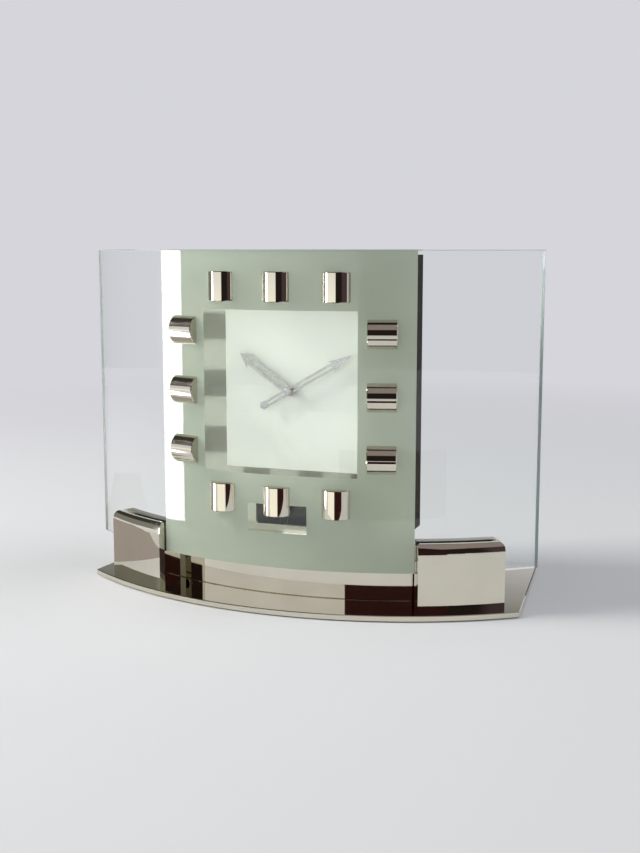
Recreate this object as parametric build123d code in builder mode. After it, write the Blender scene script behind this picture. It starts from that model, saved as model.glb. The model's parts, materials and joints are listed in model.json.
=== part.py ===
from build123d import *
import os
from math import asin, atan, cos, degrees, radians, sin, tan

# Desk pendulum clock: a bent glass front on a nickel base, with a battery pendulum movement behind it.
# Millimetres. +Z is up, the front faces -Y, and the origin is under the middle of the clock.

# Base plate and pads
base_radius = 250.0
base_end_margin = 9.7
base_end_taper = 9.0
base_depth = 155.0
base_thickness = 3.2
base_edge = 0.4
pad_diameter = 16.0
pad_thickness = 0.8
pad_inset = 16.0

# Bent glass pane
glass_radius = 235.0
glass_thickness = 6.0
glass_half_angle = 40.0
glass_bottom = 26.0
glass_height = 194.0
glass_edge = 0.5

# Hour markers, half-round bars on a square ring
marker_length = 18.0
marker_width = 17.4
marker_rise = 6.0
marker_edge = 0.4
marker_ring_half = 65.0
glue_gap = 0.05

# Glass clamps
clamp_angle = 27.7
clamp_width = 54.0
clamp_top = 45.0
clamp_front_cheek = 4.1
clamp_rear_cheek = 6.5
clamp_top_round = 1.6
clamp_corner_round = 4.5
clamp_brow_height = 8.0
clamp_brow_depth = 3.4
liner_thickness = 0.5
liner_gap = 0.05

# Screws
base_screw_radius = 2.0
base_screw_head_radius = 4.0
base_screw_length = 12.0
countersink_angle = 90.0
base_screw_grip = 6.0
clamp_screw_radius = 1.75
clamp_screw_head_radius = 3.2
clamp_screw_head_height = 2.2
clamp_screw_bite = 2.6
clamp_screw_spread = 16.0
small_screw_radius = 1.25
small_screw_head_radius = 2.4
small_screw_head_height = 1.6
screw_clearance = 0.05

# Apron and case
apron_setback = 12.0
apron_wall = 2.0
apron_half_angle = 24.0
apron_edge = 0.5
apron_flange = 12.0
apron_flange_half_angle = 10.0
apron_flange_thickness = 4.0
case_half_width = 81.0
case_bottom = 40.0
case_top = 217.0
case_wall = 1.6
case_glass_gap = 0.8
case_corner_cut = 12.0
case_back_half_opening = 42.0
case_back_margin = 12.0

# Dial, back plate and hands
dial_centre = 133.0
dial_setback = 22.0
dial_half_width = 44.0
dial_height = 100.0
dial_thickness = 1.2
dial_foot_length = 2.5
dial_foot_radius = 2.0
dial_foot_inset = 8.0
back_plate_thickness = 2.0
back_plate_gap = 0.1
aperture_width = 52.0
aperture_bottom = 46.0
aperture_top = 78.0
aperture_round = 2.0
minute_hand_angle = 60.0
hour_hand_angle = 305.0

minute_length = 48.0
minute_tail = 21.5
minute_width = 4.2
minute_rail = 1.4
minute_head_length = 15.5
minute_head_width = 7.4
hour_length = 40.0
hour_width = 5.8
hour_rail = 1.7
hour_head_length = 9.0
hour_head_width = 10.0
hour_head_frame = 2.0
hand_thickness = 0.8
hand_gap = 1.2
hand_setback = 3.0
hub_wall = 0.6
tail_cap = 3.6
tail_point = 1.8
tail_flare = 0.5
barb = 1.5
nut_height = 1.8
nut_radius = 2.4
nut_round = 0.6

# Movement plates
motion_work_depth = 13.0
plate_thickness = 1.5
plate_gap = 18.5
plate_half_width = 38.0
plate_bottom = 100.0
plate_top = 188.0
plate_round = 4.0
pillar_radius = 3.0
pillar_inset = 5.0
post_sides = 6

# Wheels and arbors
running_gap = 0.05
seat_gap = 0.02
motion_module = 0.6
cannon_teeth = 12
minute_wheel_teeth = 36
hour_wheel_teeth = 40
hour_pinion_teeth = 10
hour_pinion_overhang = 0.4
train_module = 0.5
centre_teeth = 80
pinion_leaves = 8
count_module = 0.4
intermediate_teeth = 60
ratchet_teeth = 64
ratchet_radius = 6.5
ratchet_depth = 0.5
ratchet_lean = 0.94
ratchet_thickness = 0.8
intermediate_direction = 110.0
count_direction = 95.0
wheel_thickness = 1.2
centre_wheel_setback = 3.1
train_wheel_step = 6.2
pinion_thickness = 2.6
motion_gap = 1.2
wheel_rim = 2.2
spoke_width = 1.8
spokes = 5
hub_radius = 3.0
centre_arbor_radius = 1.25
cannon_pipe_wall = 0.6
hour_pipe_wall = 0.6
setting_arbor_radius = 1.5
train_arbor_radius = 1.0
stud_radius = 1.2
stud_head_radius = 2.0
stud_head_height = 0.8
knob_radius = 8.0
knob_height = 9.0
knob_flutes = 18
knob_flute_radius = 0.7
knob_gap = 2.0

# Tooth forms: heights in modules, widths as parts of the pitch
wheel_dedendum = 1.5
wheel_addendum = 0.8
wheel_root_width = 0.46
wheel_tip_width = 0.14
leaf_dedendum = 1.3
leaf_addendum = 0.6
leaf_root_width = 0.34
leaf_tip_width = 0.22

# Pendulum
pendulum_setback = 5.5
pivot_height = 196.0
pivot_radius = 1.0
hanger_width = 8.0
hanger_height = 12.0
hanger_thickness = 4.0
hanger_above_pivot = 2.6
spring_length = 6.0
spring_width = 6.0
spring_thickness = 0.3
chop_height = 8.0
rod_radius = 1.5
bob_height = 58.5
bob_radius = 9.5
bob_length = 42.0
bob_edge = 1.2
rating_nut_radius = 4.0
rating_nut_height = 3.0
rating_nut_sides = 12
magnet_drop = 9.0
magnet_radius = 2.5
magnet_end_angle = 10.5
magnet_holder_width = 7.0
magnet_holder_height = 8.0
magnet_holder_gap = 0.1
bracket_wall = 1.5
bracket_gap = 0.4
bracket_half_width = 7.0
bracket_bottom = 182.0
pawl_thickness = 0.8
pawl_reach = 10.2
pawl_bar = 1.8
pawl_lift = 1.5

# Coil, battery and housing
coil_angle = 9.0
coil_bore_radius = 5.0
coil_flange_radius = 10.0
coil_length = 14.0
bobbin_wall = 0.8
coil_bracket_wall = 3.0
battery_radius = 16.6
battery_length = 59.5
battery_nub_radius = 4.5
battery_nub_height = 1.5
battery_edge = 0.8
battery_cover_gap = 0.95
holder_base = 3.0
holder_cheek = 2.5
contact_thickness = 0.8
holder_clearance = 0.3
housing_half_width = 48.0
housing_headroom = 18.0
housing_depth = 88.0
housing_wall = 1.5
housing_flange = 9.0
housing_lug = 9.0
cover_thickness = 1.5
cover_round = 3.0
cover_lift = 0.5

# Heights of the base and places from front to back, each worked out from the one before it
base_top = pad_thickness + base_thickness
front_reach = max(base_radius, glass_radius + marker_rise)
overall_depth = base_depth + front_reach - base_radius
centre_y = front_reach - overall_depth / 2
base_rear = overall_depth / 2
glass_inner_radius = glass_radius - glass_thickness
glass_inner_y = centre_y - glass_inner_radius
apron_radius = glass_inner_radius - apron_setback
dial_face = glass_inner_y + dial_setback
dial_back = dial_face + dial_thickness
back_plate_front = dial_back + dial_foot_length
back_plate_rear = back_plate_front + back_plate_thickness
case_rear = back_plate_rear + case_wall
front_plate_front = back_plate_rear + motion_work_depth
front_plate_rear = front_plate_front + plate_thickness
rear_plate_front = front_plate_rear + plate_gap
rear_plate_rear = rear_plate_front + plate_thickness
pendulum_y = rear_plate_rear + pendulum_setback
housing_top = plate_top + housing_headroom
housing_rear = case_rear + housing_depth
battery_y = housing_rear - battery_cover_gap - battery_radius
cover_rear = housing_rear + cover_thickness

# Axes of the wheels, seen from the front as (x, z)
motion_distance = motion_module * (cannon_teeth + minute_wheel_teeth) / 2
hour_module = 2 * motion_distance / (hour_wheel_teeth + hour_pinion_teeth)
train_distance = train_module * (centre_teeth + pinion_leaves) / 2
count_distance = count_module * (intermediate_teeth + pinion_leaves) / 2
centre_axis = (0, dial_centre)
minute_wheel_axis = (motion_distance, dial_centre)
setting_axis = (2 * motion_distance, dial_centre)
intermediate_axis = (
    train_distance * cos(radians(intermediate_direction)),
    dial_centre + train_distance * sin(radians(intermediate_direction)),
)
count_axis = (
    intermediate_axis[0] + count_distance * cos(radians(count_direction)),
    intermediate_axis[1] + count_distance * sin(radians(count_direction)),
)

sides = {"left": -1, "right": 1}
upward = (Align.CENTER, Align.CENTER, Align.MIN)
downward = (Align.CENTER, Align.CENTER, Align.MAX)

os.makedirs("parts", exist_ok=True)


def write(piece, label):
    """Name a finished piece and write it as its own STEP file."""
    piece.part.label = label
    export_step(piece.part, f"parts/{label}.step")


def at_y(y):
    """Upright plane at a depth y, seen from the front: local x is X, local y is Z, and out is -Y."""
    return Plane.XZ.offset(-y)


def arc_face(inner_radius, outer_radius, middle_angle, half_angle):
    """Face between two arcs about the front's centre of curvature, seen from above."""
    start = middle_angle - half_angle - 90
    with BuildLine() as outline:
        outer = CenterArc((0, centre_y), outer_radius, start, 2 * half_angle)
        inner = CenterArc((0, centre_y), inner_radius, start, 2 * half_angle)
        Line(outer @ 0, inner @ 0)
        Line(outer @ 1, inner @ 1)
    make_face(outline.line.edges())


def radial_plane(angle, radius, height):
    """Plane on the bowed front that looks outward, with local x along the curve and local y up."""
    turn = radians(angle)
    place = (radius * sin(turn), centre_y - radius * cos(turn), height)
    return Plane(origin=place, x_dir=(cos(turn), sin(turn), 0), z_dir=(sin(turn), -cos(turn), 0))


def on_bow(angle, radius):
    """Point seen from above, at an angle and a radius about the front's centre of curvature."""
    return (radius * sin(radians(angle)), centre_y - radius * cos(radians(angle)))


def case_outline(half_width, bottom, top):
    """Face of the case seen from the front, with its lower corners cut off above the clamps."""
    with BuildLine() as outline:
        Polyline(
            (half_width, top), (-half_width, top), (-half_width, bottom + case_corner_cut),
            (case_corner_cut - half_width, bottom), (half_width - case_corner_cut, bottom),
            (half_width, bottom + case_corner_cut), close=True,
        )
    make_face(outline.line.edges())


def clamp_outline(side):
    """Face of a clamp seen from the front, with its outer top corner rounded more than its inner one."""
    half = clamp_width / 2
    height = clamp_top - base_top
    left_round = clamp_top_round if side > 0 else clamp_corner_round
    right_round = clamp_corner_round if side > 0 else clamp_top_round
    with BuildLine() as outline:
        right = CenterArc((half - right_round, height - right_round), right_round, 0, 90)
        left = CenterArc((left_round - half, height - left_round), left_round, 90, 90)
        Line(right @ 1, left @ 0)
        Polyline(left @ 1, (-half, 0), (half, 0), right @ 0)
    make_face(outline.line.edges())


def polar(centre, radius, angle):
    """Point at a distance and a direction from a centre, in a sketch."""
    return (centre[0] + radius * cos(radians(angle)), centre[1] + radius * sin(radians(angle)))


def tooth_ring(centre, teeth, root_radius, tip_radius, root_width, tip_width, first_tooth):
    """Face of a toothed disc whose teeth have their widths given as parts of the pitch."""
    pitch = 360 / teeth
    points = []
    for tooth in range(teeth):
        middle = first_tooth + tooth * pitch
        points.append(polar(centre, root_radius, middle - root_width * pitch / 2))
        points.append(polar(centre, tip_radius, middle - tip_width * pitch / 2))
        points.append(polar(centre, tip_radius, middle + tip_width * pitch / 2))
        points.append(polar(centre, root_radius, middle + root_width * pitch / 2))
    with BuildLine() as outline:
        Polyline(*points, close=True)
    make_face(outline.line.edges())


def wheel_teeth(centre, teeth, module, first_tooth):
    """Face of a clock wheel with pointed teeth."""
    pitch_radius = module * teeth / 2
    root = pitch_radius - wheel_dedendum * module
    tip = pitch_radius + wheel_addendum * module
    tooth_ring(centre, teeth, root, tip, wheel_root_width, wheel_tip_width, first_tooth)


def pinion_teeth(centre, teeth, module, first_tooth):
    """Face of a pinion with slim leaves."""
    pitch_radius = module * teeth / 2
    root = pitch_radius - leaf_dedendum * module
    tip = pitch_radius + leaf_addendum * module
    tooth_ring(centre, teeth, root, tip, leaf_root_width, leaf_tip_width, first_tooth)


def spoked_wheel(centre, teeth, module, first_tooth, bore_radius):
    """Face of a wheel with a rim, spokes, a hub and a bore."""
    rim_inner = module * teeth / 2 - wheel_rim
    wheel_teeth(centre, teeth, module, first_tooth)
    with Locations(centre):
        Circle(rim_inner, mode=Mode.SUBTRACT)
        Circle(hub_radius)
        with PolarLocations(rim_inner / 2, spokes):
            Rectangle(rim_inner + wheel_rim / 2, spoke_width)
        Circle(bore_radius, mode=Mode.SUBTRACT)


def arbor(centre, radius, front, rear):
    """Round bar along Y between two depths."""
    with Locations(Plane(origin=(centre[0], rear, centre[1]), z_dir=(0, -1, 0))):
        Cylinder(radius, rear - front, align=upward)


def small_screw(place, grip):
    """Cheese-head screw whose head lies outside the plane and whose shank goes into it."""
    with Locations(place):
        Cylinder(small_screw_head_radius, small_screw_head_height, align=upward)
        Cylinder(small_screw_radius, grip, align=downward)


# Base plate, with countersunk holes for the screws that come up from below
clamp_half_angle = degrees(clamp_width / 2 / glass_radius)
liner_inner_radius = glass_inner_radius - liner_thickness
clamp_block_inner = liner_inner_radius - clamp_rear_cheek
clamp_block_outer = glass_radius + liner_thickness
clamp_block_middle = (clamp_block_inner + clamp_block_outer) / 2
clamp_front_radius = clamp_block_outer + clamp_front_cheek
clamp_end = clamp_front_radius * sin(radians(clamp_angle)) + clamp_width / 2 * cos(radians(clamp_angle))
base_half_width = clamp_end + base_end_margin
base_rear_half_width = base_half_width - base_end_taper
apron_flange_middle = apron_radius - apron_wall - apron_flange / 2
housing_foot_middle = housing_half_width + housing_flange / 2
clamp_screw_places = [
    on_bow(side * clamp_angle + step * clamp_half_angle / 2, clamp_block_middle)
    for side in sides.values()
    for step in (-1, 1)
]
apron_screw_places = [
    on_bow(side * apron_flange_half_angle / 2, apron_flange_middle) for side in sides.values()
]
housing_foot_places = [
    (side * housing_foot_middle, (case_rear + housing_rear) / 2 + step * housing_depth / 4)
    for side in sides.values()
    for step in (-1, 1)
]
base_screw_places = clamp_screw_places + apron_screw_places + housing_foot_places
base_corner_angle = degrees(asin(base_half_width / base_radius))
with BuildPart() as base_plate:
    with BuildSketch(Plane.XY.offset(pad_thickness)):
        with BuildLine():
            bow = CenterArc((0, centre_y), base_radius, -90 - base_corner_angle, 2 * base_corner_angle)
            Polyline(bow @ 0, (-base_rear_half_width, base_rear), (base_rear_half_width, base_rear), bow @ 1)
        make_face()
    extrude(amount=base_thickness)
    chamfer(base_plate.faces().sort_by(Axis.Z)[-1].edges(), base_edge)
    with Locations(*[Plane(origin=(x, y, pad_thickness), z_dir=(0, 0, -1)) for x, y in base_screw_places]):
        CounterSinkHole(base_screw_radius + screw_clearance, base_screw_head_radius + screw_clearance,
                        counter_sink_angle=countersink_angle)
write(base_plate, "base_plate")

# Countersunk screws under the base
base_screw_head_height = (base_screw_head_radius - base_screw_radius) / tan(radians(countersink_angle / 2))
with BuildPart() as base_screws:
    with Locations(*[(x, y, pad_thickness) for x, y in clamp_screw_places]):
        Cone(base_screw_head_radius, base_screw_radius, base_screw_head_height, align=upward)
        Cylinder(base_screw_radius, base_screw_length, align=upward)
    with Locations(*[(x, y, pad_thickness) for x, y in apron_screw_places + housing_foot_places]):
        Cone(base_screw_head_radius, base_screw_radius, base_screw_head_height, align=upward)
        Cylinder(base_screw_radius, base_screw_grip, align=upward)
write(base_screws, "base_screws")

# Felt pads under the corners of the base
pad_front = centre_y - base_radius * cos(radians(base_corner_angle)) + pad_inset
with BuildPart() as felt_pads:
    for half_width, pad_y in ((base_half_width, pad_front), (base_rear_half_width, base_rear - pad_inset)):
        with Locations((half_width - pad_inset, pad_y), (pad_inset - half_width, pad_y)):
            Cylinder(pad_diameter / 2, pad_thickness, align=upward)
write(felt_pads, "felt_pads")

# Bent glass pane
with BuildPart() as glass_pane:
    with BuildSketch(Plane.XY.offset(glass_bottom)):
        arc_face(glass_inner_radius, glass_radius, 0, glass_half_angle)
    extrude(amount=glass_height)
    chamfer(glass_pane.faces().sort_by(Axis.Z)[-1].edges(), glass_edge)
write(glass_pane, "glass_pane")

# Clamps: a front cheek, a rear block with a ledge under the glass, a liner and screws from behind
clamp_screw_height = (base_top + glass_bottom) / 2
clamp_screw_angle = degrees(clamp_screw_spread / 2 / clamp_block_inner)
clamp_screw_length = clamp_block_outer - clamp_block_inner + clamp_screw_bite
ledge_top = glass_bottom - liner_thickness
for side_name, side in sides.items():
    screw_planes = [
        radial_plane(side * clamp_angle + step * clamp_screw_angle, clamp_block_inner, clamp_screw_height)
        for step in (-1, 1)
    ]
    end_turn = radians(side * clamp_angle - clamp_half_angle)
    outward = (sin(end_turn), -cos(end_turn), 0)
    end_section = Plane(origin=(0, centre_y, 0), x_dir=outward, z_dir=(outward[1], -outward[0], 0))
    with BuildPart() as clamp_front:
        with BuildSketch(end_section):
            with BuildLine():
                brow = EllipticalCenterArc(
                    (clamp_front_radius - clamp_brow_depth, clamp_top - clamp_brow_height),
                    clamp_brow_depth, clamp_brow_height, start_angle=0, arc_size=90,
                )
                Polyline(
                    brow @ 1, (clamp_block_outer, clamp_top), (clamp_block_outer, base_top),
                    (clamp_front_radius, base_top), brow @ 0,
                )
            make_face()
        revolve(axis=Axis((0, centre_y, 0), (0, 0, 1)), revolution_arc=2 * clamp_half_angle)
        with BuildSketch(radial_plane(side * clamp_angle, clamp_block_inner, base_top)):
            clamp_outline(side)
        extrude(amount=clamp_front_radius - clamp_block_inner, mode=Mode.INTERSECT)
        for plane in screw_planes:
            with BuildSketch(plane):
                Circle(clamp_screw_radius + screw_clearance)
            extrude(amount=clamp_screw_length + screw_clearance, mode=Mode.SUBTRACT)
    write(clamp_front, f"clamp_front_{side_name}")

    with BuildPart() as clamp_rear:
        with BuildSketch(Plane.XY.offset(base_top)):
            arc_face(clamp_block_inner, clamp_block_outer, side * clamp_angle, clamp_half_angle)
        extrude(amount=clamp_top - base_top)
        with BuildSketch(Plane.XY.offset(ledge_top)):
            arc_face(liner_inner_radius, clamp_front_radius, side * clamp_angle, glass_half_angle)
        extrude(amount=clamp_top, mode=Mode.SUBTRACT)
        with BuildSketch(radial_plane(side * clamp_angle, clamp_block_inner, base_top)):
            clamp_outline(side)
        extrude(amount=clamp_front_radius - clamp_block_inner, both=True, mode=Mode.INTERSECT)
        for plane in screw_planes:
            with BuildSketch(plane):
                Circle(clamp_screw_radius + screw_clearance)
            extrude(amount=clamp_screw_length, both=True, mode=Mode.SUBTRACT)
        for step in (-1, 1):
            hole_place = on_bow(side * clamp_angle + step * clamp_half_angle / 2, clamp_block_middle)
            with BuildSketch(Plane.XY.offset(base_top)):
                with Locations(hole_place):
                    Circle(base_screw_radius + screw_clearance)
            extrude(amount=base_screw_length - base_thickness + screw_clearance, mode=Mode.SUBTRACT)
    write(clamp_rear, f"clamp_rear_{side_name}")

with BuildPart() as clamp_liners:
    for side in sides.values():
        with BuildSketch(Plane.XY.offset(ledge_top)):
            arc_face(liner_inner_radius, clamp_block_outer, side * clamp_angle, clamp_half_angle)
        extrude(amount=clamp_top - clamp_corner_round - ledge_top)
    with BuildSketch(Plane.XY.offset(glass_bottom - liner_gap)):
        arc_face(glass_inner_radius - liner_gap, glass_radius + liner_gap, 0, glass_half_angle)
    extrude(amount=glass_height, mode=Mode.SUBTRACT)
write(clamp_liners, "clamp_liners")

with BuildPart() as clamp_screws:
    for side in sides.values():
        for step in (-1, 1):
            angle = side * clamp_angle + step * clamp_screw_angle
            with Locations(radial_plane(angle, clamp_block_inner - screw_clearance, clamp_screw_height)):
                Cylinder(clamp_screw_radius, clamp_screw_length, align=upward)
                Cylinder(clamp_screw_head_radius, clamp_screw_head_height, align=downward)
write(clamp_screws, "clamp_screws")

# Apron wall between the clamps, with a foot flange inside it
with BuildPart() as apron:
    with BuildSketch(Plane.XY.offset(base_top)):
        arc_face(apron_radius - apron_wall, apron_radius, 0, apron_half_angle)
    extrude(amount=case_bottom - base_top)
    foot_arcs = apron.edges().filter_by(GeomType.CIRCLE).group_by(Axis.Z)[0]
    chamfer(foot_arcs.sort_by(SortBy.RADIUS)[-1], apron_edge)
    with BuildSketch(Plane.XY.offset(base_top)):
        arc_face(
            apron_radius - apron_wall - apron_flange, apron_radius - apron_wall, 0, apron_flange_half_angle
        )
    extrude(amount=apron_flange_thickness)
    with Locations(*[(x, y, base_top + apron_flange_thickness) for x, y in apron_screw_places]):
        Hole(base_screw_radius + screw_clearance, depth=apron_flange_thickness)
write(apron, "apron")

# Case: a shallow box whose front edge follows the bend of the glass
case_front_radius = glass_inner_radius - case_glass_gap
case_front_angle = degrees(asin(case_half_width / case_front_radius))
case_inner_half = case_half_width - case_wall
case_inner_bottom = case_bottom + case_wall
case_inner_top = case_top - case_wall
housing_screw_places = [
    (side * housing_foot_middle, height)
    for side in sides.values()
    for height in (case_bottom + case_back_margin, housing_top - case_back_margin)
]
with BuildPart() as case_shell:
    with BuildSketch(Plane.XY.offset(case_bottom)):
        with BuildLine():
            bow = CenterArc((0, centre_y), case_front_radius, -90 - case_front_angle, 2 * case_front_angle)
            Polyline(bow @ 0, (-case_half_width, case_rear), (case_half_width, case_rear), bow @ 1)
        make_face()
    extrude(amount=case_top - case_bottom)
    with BuildSketch(at_y(case_rear)):
        case_outline(case_half_width, case_bottom, case_top)
    extrude(amount=base_depth, mode=Mode.INTERSECT)
    with BuildSketch(at_y(back_plate_rear)):
        case_outline(case_inner_half, case_inner_bottom, case_inner_top)
    extrude(amount=base_depth, mode=Mode.SUBTRACT)
    with BuildSketch(at_y(case_rear)):
        with Locations((0, (aperture_bottom + housing_top - case_back_margin) / 2)):
            Rectangle(2 * case_back_half_opening, housing_top - case_back_margin - aperture_bottom)
        with Locations(*housing_screw_places):
            Circle(small_screw_radius + screw_clearance)
    extrude(amount=case_wall, mode=Mode.SUBTRACT)
write(case_shell, "case_shell")

# Inner back plate, with the pendulum aperture and holes for the hands, the posts and the screws
cannon_pipe_radius = centre_arbor_radius + seat_gap + cannon_pipe_wall
hour_pipe_inner = cannon_pipe_radius + running_gap
hour_pipe_radius = hour_pipe_inner + hour_pipe_wall
post_places = [
    (side * (plate_half_width - pillar_inset), height)
    for side in sides.values()
    for height in (plate_bottom + pillar_inset, plate_top - pillar_inset)
]
dial_foot_places = [
    (side * (dial_half_width - dial_foot_inset), dial_centre + step * (dial_height / 2 - dial_foot_inset))
    for side in sides.values()
    for step in (-1, 1)
]
with BuildPart() as back_plate:
    with BuildSketch(at_y(back_plate_rear)):
        case_outline(
            case_inner_half - back_plate_gap,
            case_inner_bottom + back_plate_gap,
            case_inner_top - back_plate_gap,
        )
        with Locations((0, (aperture_bottom + aperture_top) / 2)):
            RectangleRounded(
                aperture_width, aperture_top - aperture_bottom, aperture_round, mode=Mode.SUBTRACT
            )
        with Locations(centre_axis):
            Circle(hour_pipe_radius + screw_clearance + running_gap, mode=Mode.SUBTRACT)
        with Locations(*housing_screw_places):
            Circle(small_screw_radius + screw_clearance, mode=Mode.SUBTRACT)
    extrude(amount=back_plate_thickness)
write(back_plate, "back_plate")

# Dial plate on four short feet
with BuildPart() as dial_plate:
    with BuildSketch(at_y(dial_back)):
        with Locations(centre_axis):
            Rectangle(2 * dial_half_width, dial_height)
            Circle(hour_pipe_radius + screw_clearance + running_gap, mode=Mode.SUBTRACT)
    extrude(amount=dial_thickness)
    with BuildSketch(at_y(back_plate_front)):
        with Locations(*dial_foot_places):
            Circle(dial_foot_radius)
    extrude(amount=dial_foot_length)
write(dial_plate, "dial_plate")

# Hour markers: upright bars in the rows above and below, level bars in the columns at the sides
for hour in range(1, 13):
    turn = radians(30 * hour)
    reach = marker_ring_half / max(abs(sin(turn)), abs(cos(turn)))
    along_bow = reach * sin(turn)
    height = dial_centre + reach * cos(turn)
    upright = abs(cos(turn)) > abs(sin(turn))
    face_plane = radial_plane(degrees(along_bow / glass_radius), glass_radius, height)
    bar_axis = face_plane.y_dir if upright else face_plane.x_dir
    across = face_plane.x_dir * -1 if upright else face_plane.y_dir
    bar_start = face_plane.origin - bar_axis * (marker_length / 2)
    with BuildPart() as hour_marker:
        with BuildSketch(Plane(origin=bar_start, x_dir=across, z_dir=bar_axis)):
            with BuildLine():
                dome = ThreePointArc((-marker_width / 2, 0), (0, marker_rise), (marker_width / 2, 0))
                Polyline(dome @ 0, (-marker_width / 2, -glass_thickness / 2),
                         (marker_width / 2, -glass_thickness / 2), dome @ 1)
            make_face()
        extrude(amount=marker_length)
        chamfer(hour_marker.edges().filter_by(GeomType.CIRCLE), marker_edge)
        with BuildSketch(Plane.XY.offset(height - marker_length)):
            with Locations((0, centre_y)):
                Circle(glass_radius + glue_gap)
        extrude(amount=2 * marker_length, mode=Mode.SUBTRACT)
    write(hour_marker, f"hour_marker_{hour:02d}")


def hand_plane(turn, y):
    """Plane of a hand that points along local y, turned clockwise from twelve, with its back at depth y."""
    angle = radians(turn)
    return Plane(origin=(0, y, dial_centre), x_dir=(cos(angle), 0, -sin(angle)), z_dir=(0, -1, 0))


def polygon(*points, mode=Mode.ADD):
    """Face with straight sides, in a sketch."""
    with BuildLine() as outline:
        Polyline(*points, close=True)
    make_face(outline.line.edges(), mode=mode)


def pointed_hand(length, width, rail, head_length, head_width, tail):
    """Face of an open hand: two rails and a barbed arrowhead."""
    half = width / 2
    slot = half - rail
    head = length - head_length
    head_half = head_width / 2
    neck = head + barb
    polygon((-half, -tail), (half, -tail), (half, neck), (-half, neck))
    polygon((0, length), (head_half, head), (half, neck), (-half, neck), (-head_half, head))
    polygon((-slot, -tail), (slot, -tail), (slot, head), (-slot, head), mode=Mode.SUBTRACT)


# Hands, the hour hand behind the minute hand, and the nut in front of them
hour_hand_rear = dial_face - hand_setback
minute_hand_rear = hour_hand_rear - hand_thickness - hand_gap
minute_hand_front = minute_hand_rear - hand_thickness
hour_bore = hour_pipe_radius + seat_gap
minute_bore = cannon_pipe_radius + seat_gap
with BuildPart() as hour_hand:
    with BuildSketch(hand_plane(hour_hand_angle, hour_hand_rear)):
        pointed_hand(hour_length, hour_width, hour_rail, hour_head_length, hour_head_width, 0)
        point_angle = atan(hour_head_width / 2 / hour_head_length)
        hole_tip = hour_length - hour_head_frame / sin(point_angle)
        hole_bottom = hour_length - hour_head_length + hour_head_frame
        hole_half = (hole_tip - hole_bottom) * tan(point_angle)
        polygon((0, hole_tip), (hole_half, hole_bottom), (-hole_half, hole_bottom), mode=Mode.SUBTRACT)
        Circle(hour_bore + hub_wall)
        Circle(hour_bore, mode=Mode.SUBTRACT)
    extrude(amount=hand_thickness)
write(hour_hand, "hour_hand")

with BuildPart() as minute_hand:
    with BuildSketch(hand_plane(minute_hand_angle, minute_hand_rear)):
        rail_end = tail_point - minute_tail
        pointed_hand(
            minute_length, minute_width, minute_rail, minute_head_length, minute_head_width, -rail_end
        )
        tail_half = minute_width / 2 + tail_flare
        polygon(
            (-minute_width / 2, rail_end + tail_cap), (-tail_half, rail_end), (0, -minute_tail),
            (tail_half, rail_end), (minute_width / 2, rail_end + tail_cap),
        )
        Circle(minute_bore + hub_wall)
        Circle(minute_bore, mode=Mode.SUBTRACT)
    extrude(amount=hand_thickness)
write(minute_hand, "minute_hand")

with BuildPart() as hand_nut:
    with BuildSketch(at_y(minute_hand_front)):
        with Locations(centre_axis):
            Circle(nut_radius)
            Circle(centre_arbor_radius + seat_gap, mode=Mode.SUBTRACT)
    extrude(amount=nut_height)
    nut_rims = hand_nut.edges().filter_by(GeomType.CIRCLE).group_by(SortBy.RADIUS)[-1]
    fillet(nut_rims.sort_by(Axis.Y)[0], nut_round)
write(hand_nut, "hand_nut")

# Motion work between the back plate and the front movement plate
cannon_rear = front_plate_front - motion_gap
cannon_front = cannon_rear - pinion_thickness
minute_wheel_rear = cannon_rear - (pinion_thickness - wheel_thickness) / 2
minute_wheel_front = minute_wheel_rear - wheel_thickness
hour_wheel_rear = cannon_front - motion_gap
hour_wheel_front = hour_wheel_rear - wheel_thickness
hour_pinion_front = hour_wheel_front - hour_pinion_overhang
cannon_bore = centre_arbor_radius + seat_gap
with BuildPart() as cannon_pinion:
    with BuildSketch(at_y(cannon_rear)):
        pinion_teeth(centre_axis, cannon_teeth, motion_module, 0)
        with Locations(centre_axis):
            Circle(cannon_bore, mode=Mode.SUBTRACT)
    extrude(amount=pinion_thickness)
    with BuildSketch(at_y(cannon_front)):
        with Locations(centre_axis):
            Circle(cannon_pipe_radius)
            Circle(cannon_bore, mode=Mode.SUBTRACT)
    extrude(amount=cannon_front - minute_hand_front)
write(cannon_pinion, "cannon_pinion")

with BuildPart() as hour_wheel:
    with BuildSketch(at_y(hour_wheel_rear)):
        spoked_wheel(centre_axis, hour_wheel_teeth, hour_module, 0, hour_pipe_inner)
    extrude(amount=wheel_thickness)
    with BuildSketch(at_y(hour_wheel_rear)):
        with Locations(centre_axis):
            Circle(hour_pipe_radius)
            Circle(hour_pipe_inner, mode=Mode.SUBTRACT)
    extrude(amount=hour_wheel_rear - hour_hand_rear + hand_thickness)
write(hour_wheel, "hour_wheel")

minute_wheel_pitch = 360 / minute_wheel_teeth
hour_pinion_pitch = 360 / hour_pinion_teeth
stud_bore = stud_radius + running_gap
with BuildPart() as minute_wheel:
    with BuildSketch(at_y(minute_wheel_rear)):
        spoked_wheel(
            minute_wheel_axis, minute_wheel_teeth, motion_module, 180 + minute_wheel_pitch / 2, stud_bore
        )
    extrude(amount=wheel_thickness)
    with BuildSketch(at_y(minute_wheel_front)):
        pinion_teeth(minute_wheel_axis, hour_pinion_teeth, hour_module, 180 + hour_pinion_pitch / 2)
        with Locations(minute_wheel_axis):
            Circle(stud_bore, mode=Mode.SUBTRACT)
    extrude(amount=minute_wheel_front - hour_pinion_front)
write(minute_wheel, "minute_wheel")

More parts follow.
